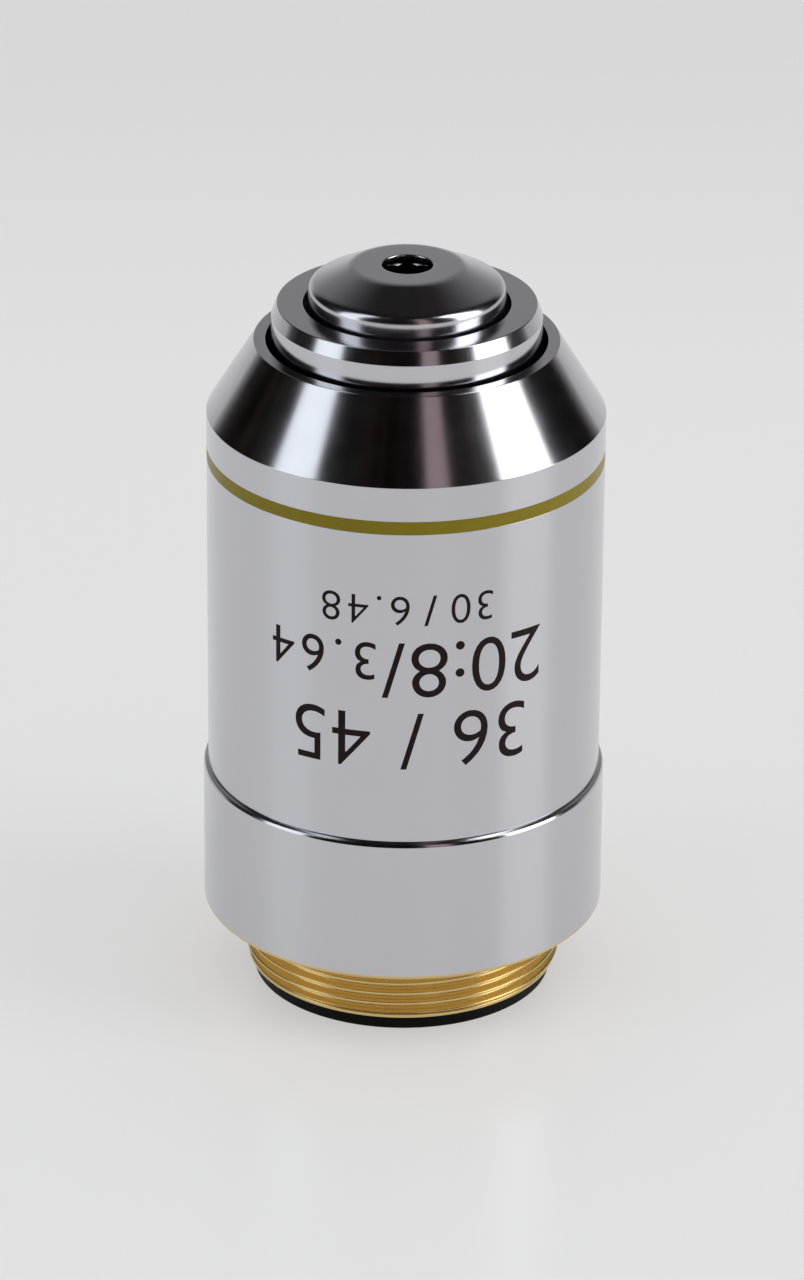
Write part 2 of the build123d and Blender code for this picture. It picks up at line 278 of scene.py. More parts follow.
def tool_marks(tree, spacing, depth):
    """Bump of fine lines round the axis, this far apart and this deep in metres. Real feed marks are
    about 0.05 mm apart, too fine to show in the render, so they are drawn two or three times as coarse."""
    noise = add_node(
        tree, "ShaderNodeTexNoise", {"W": turning_line(tree), "Scale": 1 / spacing, "Detail": 2.0},
        noise_dimensions="1D",
    )
    return add_node(tree, "ShaderNodeBump", {"Height": noise, "Distance": depth, "Strength": 1.0})


def mottled(tree, size, low, high):
    """A slow change between two values over patches of this size in metres."""
    place = add_node(tree, "ShaderNodeTexCoord").outputs["Object"]
    noise = add_node(
        tree, "ShaderNodeTexNoise", {"Vector": place, "Scale": 1 / size, "Detail": 4.0, "Roughness": 0.6}
    )
    return add_node(
        tree, "ShaderNodeMapRange",
        {"Value": noise, "From Min": 0.3, "From Max": 0.7, "To Min": low, "To Max": high},
    )


def turned_surface(name, colour_value, patch, smooth, rough, spacing, depth, inputs):
    """A turned surface. Its roughness changes slowly between two values over patches of this size, its
    tool marks are this far apart and this deep, all in millimetres, and the rest is the shader's own."""
    material, tree = new_material(name)
    shader = add_node(tree, "ShaderNodeBsdfPrincipled", {
        "Base Color": colour_value, "Roughness": mottled(tree, patch * MM, smooth, rough),
        "Normal": tool_marks(tree, spacing * MM, depth * MM), **inputs,
    })
    return finish_material(material, tree, shader)


def satin_chrome_plate(colour_value):
    """Chrome over brass that was turned and lightly lapped before plating. It gives soft-edged
    reflections with a faint drawn-out grain round the axis."""
    return turned_surface(
        "satin_chrome_plate", colour_value, patch=3, smooth=0.17, rough=0.21, spacing=0.12,
        depth=0.0004, inputs={"Metallic": 1.0},
    )


def polished_chrome_plate(colour_value):
    """Chrome over polished brass. It mirrors the studio, with only hairlines from the polishing."""
    return turned_surface(
        "polished_chrome_plate", colour_value, patch=2, smooth=0.13, rough=0.17, spacing=0.15,
        depth=0.0003, inputs={"Metallic": 1.0},
    )


def bare_brass_turned(colour_value):
    """Free-cutting brass straight from the tool: yellow, fairly bright, with fine cutting lines."""
    return turned_surface(
        "bare_brass_turned", colour_value, patch=1, smooth=0.2, rough=0.28, spacing=0.12,
        depth=0.0004, inputs={"Metallic": 1.0},
    )


def blackened_brass():
    """Chemically blackened brass: a thin brown-black film that the metal shines through."""
    return turned_surface(
        "blackened_brass", linear("#1f1b19"), patch=1.5, smooth=0.38, rough=0.5, spacing=0.1,
        depth=0.0008, inputs={"Metallic": 0.6},
    )


def black_anodised_aluminium(colour_value):
    """Black anodised aluminium: matt and even, with the turning lines just showing."""
    return turned_surface(
        "black_anodised_aluminium", colour_value, patch=1, smooth=0.42, rough=0.52, spacing=0.1,
        depth=0.0012, inputs={"Specular IOR Level": 0.1},
    )


def yellow_enamel(colour_value):
    """Baked enamel wiped into a groove: a colour code with a low gloss, a slight ripple and a little
    more yellow where it lies thin."""
    material, tree = new_material("yellow_enamel")
    place = add_node(tree, "ShaderNodeTexCoord").outputs["Object"]
    noise = add_node(tree, "ShaderNodeTexNoise", {"Vector": place, "Scale": 1 / (0.9 * MM), "Detail": 2.0})
    bump = add_node(tree, "ShaderNodeBump", {"Height": noise, "Distance": 0.006 * MM, "Strength": 1.0})
    shade = add_node(tree, "ShaderNodeMixRGB", {
        "Fac": mottled(tree, 2 * MM, 0.0, 0.18), "Color1": colour_value, "Color2": linear("#97861c"),
    })
    shader = add_node(tree, "ShaderNodeBsdfPrincipled", {
        "Base Color": shade, "Roughness": 0.3, "Specular IOR Level": 0.18, "Normal": bump,
    })
    return finish_material(material, tree, shader)


def engraved_paint(colour_value):
    """Matt paint rubbed into an engraving: brown-black, a little grainy."""
    material, tree = new_material("engraved_paint")
    shader = add_node(tree, "ShaderNodeBsdfPrincipled", {
        "Base Color": colour_value, "Specular IOR Level": 0.15,
        "Roughness": mottled(tree, 0.3 * MM, 0.5, 0.7),
    })
    return finish_material(material, tree, shader)


def coated_glass(name, index, tint):
    """Polished optical glass with a single-layer coating, which tints what little it reflects."""
    material, tree = new_material(name)
    shader = add_node(tree, "ShaderNodeBsdfPrincipled", {
        "Base Color": linear("#ffffff"), "Roughness": 0.0, "IOR": index,
        "Transmission Weight": 1.0, "Specular IOR Level": 0.12, "Specular Tint": linear(tint),
    })
    return finish_material(material, tree, shader)


def pale_acrylic(colour_value):
    """White acrylic sheet, lit through from below: even and pale, with painted shade that darkens it a
    little towards the back, light shadows and a weak soft reflection. The lit part is seen by the camera, in
    metal and through glass, and lights nothing. From below the sheet is clear, so that the rear end shows."""
    painted_shade_start = 80 * MM
    painted_shade_end = 190 * MM
    painted_shade_depth = 0.08
    lit_share = 0.65
    material, tree = new_material("pale_acrylic")
    place = add_node(tree, "ShaderNodeTexCoord").outputs["Object"]
    depth = add_node(tree, "ShaderNodeSeparateXYZ", {0: place}).outputs["Y"]
    # Painted shade: the sheet's colour, lit and glowing alike, is darkened a little towards the back
    far = add_node(tree, "ShaderNodeMapRange", {
        "Value": depth, "From Min": painted_shade_start, "From Max": painted_shade_end, "To Min": 0.0, "To Max": painted_shade_depth,
    }, interpolation_type="SMOOTHSTEP")
    shade = add_node(tree, "ShaderNodeMixRGB", {
        "Fac": far, "Color1": colour_value, "Color2": linear("#000000"),
    })
    sheet = add_node(tree, "ShaderNodeBsdfPrincipled", {
        "Base Color": shade, "Roughness": 0.25, "Specular IOR Level": 0.8,
    })
    glow = add_node(tree, "ShaderNodeEmission", {"Color": shade, "Strength": 1.0})
    ray = add_node(tree, "ShaderNodeLightPath").outputs
    seen = add_node(tree, "ShaderNodeMath", {0: ray["Is Camera Ray"], 1: ray["Is Glossy Ray"]})
    seen = add_node(tree, "ShaderNodeMath", {0: seen, 1: ray["Is Transmission Ray"]})
    share = add_node(tree, "ShaderNodeMath", {0: seen, 1: lit_share}, operation="MULTIPLY")
    lit = add_node(tree, "ShaderNodeMixShader", {0: share, 1: sheet, 2: glow})
    below = add_node(tree, "ShaderNodeNewGeometry").outputs["Backfacing"]
    clear = add_node(tree, "ShaderNodeBsdfTransparent")
    shader = add_node(tree, "ShaderNodeMixShader", {0: below, 1: lit, 2: clear})
    return finish_material(material, tree, shader)


finishes = {}


def make_finishes(scene):
    """Every material of the objective, by the name of its record slot or use."""
    casing = scene.objective_casing
    finishes["satin_chrome"] = satin_chrome_plate(casing.chrome)
    finishes["polished_chrome"] = polished_chrome_plate(casing.chrome)
    finishes["bare_brass"] = bare_brass_turned(casing.brass)
    finishes["black_anodised"] = black_anodised_aluminium(scene.objective_barrel.black)
    finishes["blackened_brass"] = blackened_brass()
    finishes["yellow_enamel"] = yellow_enamel(casing.enamel)
    finishes["engraved_paint"] = engraved_paint(scene.objective_marking.colour)
    finishes["front_glass"] = coated_glass("lanthanum_crown_glass", 1.69, "#6a5fb0")
    finishes["crown_glass"] = coated_glass("crown_glass", 1.52, "#6f83c4")
    finishes["flint_glass"] = coated_glass("dense_flint_glass", 1.75, "#6fae9a")


# Turned meshes
ARC_STEPS = 5
ARC_SHARE = 0.4
GUARD_REACH = 1.4
GUARD_SHARE = 0.45
NO_REACH = 1e-7


def rounded(outline, radius, closed=True):
    """Round the corners of an outline of (radius, height, finish) points, and hold each arc with a
    point on either side so that the long faces shade flat. A fourth value is a corner's own rounding.
    The ends of an open outline stay as they are."""
    count = len(outline)
    result = []
    for i, (r, z, finish, *own) in enumerate(outline):
        if not closed and i in (0, count - 1):
            result.append((r, z, finish))
            continue
        here = Vector((r, z))
        to_before = Vector(outline[i - 1][:2]) - here
        to_after = Vector(outline[(i + 1) % count][:2]) - here
        last_finish = outline[i - 1][2]
        turn = math.pi - to_before.angle(to_after)
        wanted = (own[0] if own else radius) * math.tan(turn / 2)
        reach = min(wanted, ARC_SHARE * to_before.length, ARC_SHARE * to_after.length)
        if reach < NO_REACH:
            result.append((r, z, finish))
            continue
        way_in = to_before.normalized()
        way_out = to_after.normalized()
        guard = here + way_in * min(GUARD_REACH * reach, GUARD_SHARE * to_before.length)
        result.append((guard.x, guard.y, last_finish))
        for step in range(ARC_STEPS + 1):
            t = step / ARC_STEPS
            point = here + (1 - t) ** 2 * reach * way_in + t ** 2 * reach * way_out
            result.append((point.x, point.y, last_finish if t < 0.5 else finish))
        guard = here + way_out * min(GUARD_REACH * reach, GUARD_SHARE * to_after.length)
        result.append((guard.x, guard.y, finish))
    return result


def lathe(name, outline, materials, edge=None, closed=True):
    """Round an outline of (radius, height, finish) points and turn it about the optical axis. The
    outline runs anticlockwise with the radius to the right, so that the faces point outwards."""
    turning = bpy.context.scene.objective_turning
    segments = turning.segments
    outline = rounded(outline, edge or turning.edge, closed)
    step = 2 * math.pi / segments
    count = len(outline)
    vertices = []
    for r, z, _ in outline:
        vertices += [(r * math.cos(j * step), r * math.sin(j * step), z) for j in range(segments)]
    faces = []
    slots = []
    for i in range(count if closed else count - 1):
        low = i * segments
        high = (i + 1) % count * segments
        for j in range(segments):
            k = (j + 1) % segments
            faces.append((low + j, low + k, high + k, high + j))
            slots.append(materials.index(outline[i][2]))
    mesh = bpy.data.meshes.new(name)
    mesh.from_pydata(vertices, [], faces)
    for key in materials:
        mesh.materials.append(finishes[key])
    mesh.polygons.foreach_set("material_index", slots)
    mesh.shade_smooth()
    mesh.validate()
    return new_object(name, mesh)


def new_object(name, mesh):
    """An object at the origin, linked to the scene."""
    thing = bpy.data.objects.new(name, mesh)
    bpy.context.scene.collection.objects.link(thing)
    return thing


def stands_for(thing, slot, *nodes):
    """Let a piece ride on the objective in place of these nodes. The slot is not used."""
    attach(thing, BODY)
    if nodes:
        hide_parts(*nodes)


def with_finish(finish, *points):
    """Give these points one finish. A point is (radius, height), or (radius, height, edge) where its
    corner has a rounding of its own."""
    return [(point[0], point[1], finish, *point[2:]) for point in points]


# Casing
def sleeve_outline(scene):
    """Satin sleeve with the band's groove, polished cone and rim, and the plain inside."""
    casing = scene.objective_casing
    cone = sleeve_top - casing.cone_height
    mouth = barrel_thread_radius - scene.objective_barrel.thread_step + casing.mouth_gap
    groove = band_radius - casing.band_depth
    bore = sleeve_radius - casing.wall
    seat = bore - casing.seat_step + casing.thread_play
    sharp = scene.objective_turning.sharp_edge
    return with_finish(
        "satin_chrome",
        (sleeve_radius, sleeve_bottom),
        (sleeve_radius, band_bottom, sharp),
        (groove, band_bottom, sharp),
        (groove, band_top, sharp),
        (sleeve_radius, band_top, sharp),
    ) + with_finish(
        "polished_chrome",
        (sleeve_radius, cone),
        (mouth + casing.rim_width, sleeve_top),
    ) + with_finish(
        "blackened_brass",
        (mouth, sleeve_top),
        (mouth, sleeve_top - casing.mouth_land),
        (bore, cone - casing.cone_bore_drop),
        (bore, base_top),
        (seat, base_top),
        (seat, sleeve_bottom),
    )


class OBJECTIVE_OT_sleeve(bpy.types.Operator):
    """Turn the outer sleeve with its polished cone and rim"""

    bl_idname = "objective.sleeve"
    bl_label = "Outer sleeve"

    def execute(self, context):
        outline = sleeve_outline(context.scene)
        sleeve = lathe("satin_sleeve", outline, ["satin_chrome", "polished_chrome", "blackened_brass"])
        stands_for(sleeve, "satin_chrome", "outer_sleeve")
        return {"FINISHED"}


class OBJECTIVE_OT_band(bpy.types.Operator):
    """Fill the groove of the sleeve with the colour band"""

    bl_idname = "objective.band"
    bl_label = "Colour band"

    def execute(self, context):
        scene = context.scene
        inner = band_radius - scene.objective_casing.band_depth
        outline = with_finish(
            "yellow_enamel",
            (inner, band_bottom),
            (band_radius, band_bottom),
            (band_radius, band_top),
            (inner, band_top),
        )
        band = lathe("enamel_band", outline, ["yellow_enamel"], edge=scene.objective_turning.sharp_edge)
        stands_for(band, "yellow_enamel", "colour_band")
        return {"FINISHED"}


# Threaded base
def thread_tree():
    """Geometry nodes for a right-handed screw thread: a grid is rolled into a tube whose rows
    climb one pitch each turn, and the radius follows the distance from the nearest crest."""
    root_end = 0.05
    crest_start = 0.88
    run_out_slope = 2.0
    counts = ("Segments", "Rows", "Rows per Pitch")
    lengths = ("Pitch", "Bottom", "Top", "Root Radius", "Crest Radius", "Lead", "Relief")
    tree = bpy.data.node_groups.new("screw_thread", "GeometryNodeTree")
    tree.interface.new_socket("Geometry", in_out="OUTPUT", socket_type="NodeSocketGeometry")
    for name in counts:
        tree.interface.new_socket(name, in_out="INPUT", socket_type="NodeSocketInt")
    for name in lengths:
        tree.interface.new_socket(name, in_out="INPUT", socket_type="NodeSocketFloat")
    tree.interface.new_socket("Material", in_out="INPUT", socket_type="NodeSocketMaterial")
    size = add_node(tree, "NodeGroupInput").outputs
    spot = add_node(tree, "GeometryNodeInputPosition")
    place = add_node(tree, "ShaderNodeSeparateXYZ", {0: spot}).outputs
    values = {name: size[name] for name in counts + lengths}
    values["across"] = place["X"]
    values["up"] = place["Y"]

    # Each step is a result, an operation and its terms
    steps = [
        ("columns", "ADD", "Segments", 1),
        ("lines", "ADD", "Rows", 1),
        ("turn", "ADD", "across", 0.5),
        ("along", "ADD", "up", 0.5),
        ("pitches", "DIVIDE", "Rows", "Rows per Pitch"),
        ("phase", "MULTIPLY", "along", "pitches"),
        ("climbed", "ADD", "phase", "turn"),
        ("climbed", "SUBTRACT", "climbed", 1),
        ("height", "MULTIPLY_ADD", "climbed", "Pitch", "Bottom"),
        ("height", "MAXIMUM", "height", "Bottom"),
        ("height", "MINIMUM", "height", "Top"),
        ("nearness", "PINGPONG", "phase", 0.5),
        ("nearness", "MULTIPLY", "nearness", 2),
        ("depth", "SUBTRACT", "Crest Radius", "Root Radius"),
        ("slope", "DIVIDE", "depth", "Lead"),
        ("from bottom", "SUBTRACT", "height", "Bottom"),
        ("lead-in", "MULTIPLY_ADD", "from bottom", "slope", "Root Radius"),
        ("relief start", "SUBTRACT", "Top", "Relief"),
        ("to relief", "SUBTRACT", "relief start", "height"),
        ("to relief", "MAXIMUM", "to relief", 0.0),
        ("run-out", "MULTIPLY_ADD", "to relief", run_out_slope, "Root Radius"),
        ("limit", "MINIMUM", "lead-in", "run-out"),
        ("angle", "MULTIPLY", "turn", 2 * math.pi),
        ("cosine", "COSINE", "angle"),
        ("sine", "SINE", "angle"),
    ]
    for name, operation, *terms in steps:
        inputs = {i: values.get(term, term) for i, term in enumerate(terms)}
        values[name] = add_node(tree, "ShaderNodeMath", inputs, operation=operation)
    crest = add_node(tree, "ShaderNodeMapRange", {
        "Value": values["nearness"], "From Min": root_end, "From Max": crest_start,
        "To Min": size["Root Radius"], "To Max": size["Crest Radius"],
    }, interpolation_type="SMOOTHSTEP")
    radius = add_node(tree, "ShaderNodeMath", {0: crest, 1: values["limit"]}, operation="MINIMUM")
    x = add_node(tree, "ShaderNodeMath", {0: radius, 1: values["cosine"]}, operation="MULTIPLY")
    y = add_node(tree, "ShaderNodeMath", {0: radius, 1: values["sine"]}, operation="MULTIPLY")
    point = add_node(tree, "ShaderNodeCombineXYZ", {0: x, 1: y, 2: values["height"]})

    grid = add_node(tree, "GeometryNodeMeshGrid", {
        "Size X": 1.0, "Size Y": 1.0, "Vertices X": values["columns"], "Vertices Y": values["lines"],
    })
    rolled = add_node(tree, "GeometryNodeSetPosition", {"Geometry": grid, "Position": point})
    welded = add_node(tree, "GeometryNodeMergeByDistance", {"Geometry": rolled, "Distance": SEAM_WELD})
    smooth = add_node(tree, "GeometryNodeSetShadeSmooth", {"Geometry": welded})
    real = add_node(tree, "GeometryNodeRealizeInstances", {"Geometry": smooth})
    painted = add_node(tree, "GeometryNodeSetMaterial", {"Geometry": real, "Material": size["Material"]})
    add_node(tree, "NodeGroupOutput", {0: painted})
    return tree


def grown_mesh(name, tree, inputs):
    """Run a geometry tree with these named inputs on an empty carrier and return the plain mesh."""
    carrier = new_object(name + "_carrier", bpy.data.meshes.new(name + "_carrier"))
    modifier = carrier.modifiers.new(tree.name, "NODES")
    modifier.node_group = tree
    for socket in tree.interface.items_tree:
        if socket.in_out == "INPUT":
            modifier[socket.identifier] = inputs[socket.name]
    graph = bpy.context.evaluated_depsgraph_get()
    mesh = bpy.data.meshes.new_from_object(carrier.evaluated_get(graph))
    carrier.modifiers.clear()
    bpy.data.objects.remove(carrier)
    mesh.name = name
    return mesh


def base_outline(scene):
    """Open outline of the base from the shoulder round to the end of the neck. The thread closes it."""
    casing = scene.objective_casing
    neck = scene.objective_neck
    barrel = scene.objective_barrel
    barrel_bore = barrel_thread_radius + casing.thread_play
    spigot = sleeve_radius - casing.wall - casing.seat_step
    neck_bore = barrel.rear_bore + barrel.rear_spigot_wall + casing.thread_play
    root = neck.crest_radius - neck.depth
    seat = casing.shoulder + casing.barrel_seat
    return with_finish(
        "bare_brass",
        (root, casing.shoulder),
        (root, casing.shoulder + neck.bite),
        (neck.crest_radius + neck.bite, casing.shoulder),
        (base_radius - casing.base_bevel, casing.shoulder),
        (base_radius, casing.shoulder + casing.base_bevel),
    ) + with_finish(
        "satin_chrome",
        (base_radius, casing.shoulder + casing.base_bevel + casing.bare_edge, 0.0),
    ) + with_finish(
        "polished_chrome",
        (base_radius, sleeve_bottom - casing.base_step),
        (base_radius - casing.step_bevel, sleeve_bottom - casing.step_ledge),
    ) + with_finish(
        "bare_brass",
        (sleeve_radius, sleeve_bottom),
        (spigot, sleeve_bottom),
        (spigot, base_top),
        (barrel_bore, base_top),
        (barrel_bore, seat),
        (neck_bore, seat),
        (neck_bore, neck_bottom),
        (neck.land_radius, neck_bottom),
        (neck.land_radius, neck_bottom + neck.land),
        (root, neck_bottom + neck.land),
    )


class OBJECTIVE_OT_base(bpy.types.Operator):
    """Turn the mount base and cut the objective thread on its neck"""

    bl_idname = "objective.base"
    bl_label = "Mount base and thread"

    def execute(self, context):
        scene = context.scene
        casing = scene.objective_casing
        neck = scene.objective_neck
        materials = ["bare_brass", "satin_chrome", "polished_chrome"]
        base = lathe("threaded_base", base_outline(scene), materials, closed=False)
        thread_bottom = neck_bottom + neck.land
        pitches = (casing.shoulder - thread_bottom) / neck.pitch + 1
        thread = grown_mesh("neck_thread", thread_tree(), {
            "Segments": scene.objective_turning.segments,
            "Rows": math.ceil(pitches * neck.rows),
            "Rows per Pitch": neck.rows,
            "Pitch": neck.pitch,
            "Bottom": thread_bottom,
            "Top": casing.shoulder,
            "Root Radius": neck.crest_radius - neck.depth,
            "Crest Radius": neck.crest_radius,
            "Lead": neck.lead,
            "Relief": neck.relief,
            "Material": finishes["bare_brass"],
        })
        thread.polygons.foreach_set("material_index", [0] * len(thread.polygons))
        both = bmesh.new()
        both.from_mesh(base.data)
        both.from_mesh(thread)
        bmesh.ops.remove_doubles(both, verts=both.verts, dist=JOIN_WELD)
        both.to_mesh(base.data)
        both.free()
        bpy.data.meshes.remove(thread)
        base.data.shade_smooth()
        stands_for(base, "bare_brass", "mount_base")
        return {"FINISHED"}


class OBJECTIVE_OT_stop_ring(bpy.types.Operator):
    """Turn the black stop ring at the rear end"""

    bl_idname = "objective.stop_ring"
    bl_label = "Rear stop ring"

    def execute(self, context):
        barrel = context.scene.objective_barrel
        outline = with_finish(
            "black_anodised",
            (barrel.rear_bore + barrel.rear_widening, stop_ring_bottom),
            (stop_ring_radius, stop_ring_bottom),
            (stop_ring_radius, neck_bottom),
            (barrel.rear_bore + barrel.rear_spigot_wall, neck_bottom),
            (barrel.rear_bore + barrel.rear_spigot_wall, stop_ring_top),
            (barrel.rear_bore, stop_ring_top),
        )
        ring = lathe("black_stop_ring", outline, ["black_anodised"])
        stands_for(ring, "black_anodised", "rear_stop_ring")
        return {"FINISHED"}


# Barrel and nose
class OBJECTIVE_OT_barrel(bpy.types.Operator):
    """Turn the inner barrel, whose bevelled end shows round the nose"""

    bl_idname = "objective.barrel"
    bl_label = "Inner barrel"

    def execute(self, context):
        barrel = context.scene.objective_barrel
        play = context.scene.objective_casing.thread_play
        outer = barrel_thread_radius - barrel.thread_step
        counterbore = nose_radius + barrel.nose_gap
        nose_bore = nose_radius - barrel.nose_shoulder + play
        ring_bore = stack_ring_radius + play
        thread_top = lock_ring_top + barrel.thread_run_out
        ring_stop = rear_cell_bottom + barrel.ring_recess
        outline = with_finish(
            "bare_brass",
            (ring_bore, barrel_bottom),
            (barrel_thread_radius, barrel_bottom),
            (barrel_thread_radius, thread_top),
        ) + with_finish(
            "polished_chrome",
            (outer, thread_top),
            (outer, barrel_top - barrel.bevel_height),
            (outer - barrel.bevel_width, barrel_top),
            (counterbore, barrel_top),
        ) + with_finish(
            "blackened_brass",
            (counterbore, shim_bottom),
            (nose_bore, shim_bottom),
            (nose_bore, second_cell_top),
            (stack_ring_radius, second_cell_top),
            (stack_ring_radius, ring_stop),
            (ring_bore, ring_stop),
        )
        tube = lathe("polished_barrel", outline, ["polished_chrome", "bare_brass", "blackened_brass"])
        stands_for(tube, "polished_chrome", "inner_barrel")
        return {"FINISHED"}


class OBJECTIVE_OT_nose(bpy.types.Operator):
    """Turn the nose, which holds the front lens"""

    bl_idname = "objective.nose"
    bl_label = "Front cell"

    def execute(self, context):
        barrel = context.scene.objective_barrel
        spigot = nose_radius - barrel.nose_shoulder
        lip = front_lens_radius - barrel.lens_flat + barrel.lens_play
        lens_bore = front_lens_radius + barrel.lens_play
        ring_bore = front_lens_radius + barrel.ring_step
        ring_stop = front_ring_top + barrel.ring_recess
        outline = with_finish(
            "satin_chrome",
            (nose_radius, shim_top),
            (nose_radius, nose_top - barrel.cone_height, barrel.collar_edge),
            (nose_radius - barrel.cone_width, nose_top, barrel.crown_edge),
            (barrel.hole_radius, nose_top, barrel.hole_edge),
        ) + with_finish(
            "blackened_brass",
            (barrel.hole_radius, nose_top - barrel.hole_land),
            (lip, front_lens_top),
            (lens_bore, front_lens_top),
            (lens_bore, ring_stop),
            (ring_bore, ring_stop),
            (ring_bore, nose_bottom),
            (spigot, nose_bottom),
            (spigot, shim_top),
        )
        nose = lathe("polished_nose", outline, ["satin_chrome", "blackened_brass"])
        stands_for(nose, "polished_chrome", "front_cell")
        return {"FINISHED"}


class OBJECTIVE_OT_inner_pieces(bpy.types.Operator):
    """Give the cells, rings, spacers and lenses inside their finishes"""

    bl_idname = "objective.inner_pieces"
    bl_label = "Inner pieces"

    def execute(self, context):
        given = {
            "parfocal_lock_ring": "bare_brass",
            "front_shim": "bare_brass",
            "front_lens": "front_glass",
            "second_lens": "crown_glass",
            "middle_crown_lens": "crown_glass",
            "middle_flint_lens": "flint_glass",
            "rear_crown_lens": "crown_glass",
            "rear_flint_lens": "flint_glass",
            "baffled_spacer": "black_anodised",
            "aperture_stop": "black_anodised",
        }
        for name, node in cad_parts.items():
            if node.hide_render:
                continue
            finish = finishes[given.get(name, "blackened_brass")]
            node.data.materials.clear()
            node.data.materials.append(finish)
        return {"FINISHED"}


# Numbers on the sleeve

# The built-in font's cap height as a share of its size, and its stroke as a share of its cap height
FONT_CAP_SHARE = 0.73
FONT_STROKE_SHARE = 0.12

Digits = namedtuple("Digits", "text cap stroke spacing", defaults=(1.0,))
Row = namedtuple("Row", "start foot gap groups")

# Rows from the lowest up, in millimetres: where a row starts, the height of the line that it hangs
# from, and the gap between its groups
number_rows = [
    Row(start=8.0, foot=23.6, gap=1.9, groups=[
        Digits("36", cap=4.0, stroke=0.4),
        Digits("/", cap=4.0, stroke=0.46),
        Digits("45", cap=4.0, stroke=0.4),
    ]),
    Row(start=9.2, foot=28.4, gap=0.4, groups=[
        Digits("20:8", cap=3.9, stroke=0.4),
        Digits("/", cap=3.9, stroke=0.46),
        Digits("3.64", cap=2.7, stroke=0.29, spacing=1.2),
    ]),
    Row(start=5.6, foot=31.6, gap=0.9, groups=[
        Digits("30", cap=2.1, stroke=0.2, spacing=1.1),
        Digits("/", cap=2.1, stroke=0.27),
        Digits("6.48", cap=2.1, stroke=0.2, spacing=1.2),
    ]),
]


def flat_numbers(digits, depth):
    """A closed mesh of plain digits lying flat, with its foot on the X axis."""
    curve = bpy.data.curves.new("digits", "FONT")
    curve.body = digits.text
    curve.size = digits.cap * MM / FONT_CAP_SHARE
    curve.space_character = digits.spacing
    curve.offset = (digits.stroke - FONT_STROKE_SHARE * digits.cap) * MM / 2
    curve.extrude = depth / 2
    curve.resolution_u = 6
    writing = new_object("digits", curve)
    graph = bpy.context.evaluated_depsgraph_get()
    mesh = bpy.data.meshes.new_from_object(writing.evaluated_get(graph))
    bpy.data.objects.remove(writing)
    bpy.data.curves.remove(curve)
    left = min(v.co.x for v in mesh.vertices)
    mesh.transform(Matrix.Translation((-left, 0, 0)))
    return mesh


def bend_round(mesh, start, foot, slice_width):
    """Slice flat writing and bend it round the sleeve, hanging upside down from its foot line. Start
    is the distance from the front to its left end, along the sleeve and to the camera's right. The
    return is where it ends."""
    sliced = bmesh.new()
    sliced.from_mesh(mesh)
    reach = max(v.co.x for v in sliced.verts)
    for step in range(1, int(reach / slice_width) + 1):
        everything = sliced.verts[:] + sliced.edges[:] + sliced.faces[:]
        place = (step * slice_width, 0, 0)
        bmesh.ops.bisect_plane(sliced, geom=everything, plane_co=place, plane_no=(1, 0, 0), dist=1e-9)
    for vertex in sliced.verts:
        turned = (start - vertex.co.x) / sleeve_radius
        radius = sleeve_radius + vertex.co.z
        height = foot - vertex.co.y
        vertex.co = (radius * math.sin(turned), -radius * math.cos(turned), height)
    bmesh.ops.remove_doubles(sliced, verts=sliced.verts, dist=SLICE_WELD)
    sliced.to_mesh(mesh)
    sliced.free()
    return start - reach


class OBJECTIVE_OT_numbers(bpy.types.Operator):
    """Fill plain numbers into the sleeve, upside down as on an objective that hangs in use"""

    bl_idname = "objective.numbers"
    bl_label = "Numbers"

    def execute(self, context):
        marking = context.scene.objective_marking
        whole = bmesh.new()
        for row in number_rows:
            place = row.start * MM
            for digits in row.groups:
                mesh = flat_numbers(digits, marking.thickness)
                place = bend_round(mesh, place, row.foot * MM, marking.slice_width) - row.gap * MM
                whole.from_mesh(mesh)
                bpy.data.meshes.remove(mesh)
        mesh = bpy.data.meshes.new("filled_numbers")
        whole.to_mesh(mesh)
        whole.free()
        mesh.materials.append(finishes["engraved_paint"])
        numbers = new_object("filled_numbers", mesh)
        stands_for(numbers, "black_anodised")
        return {"FINISHED"}


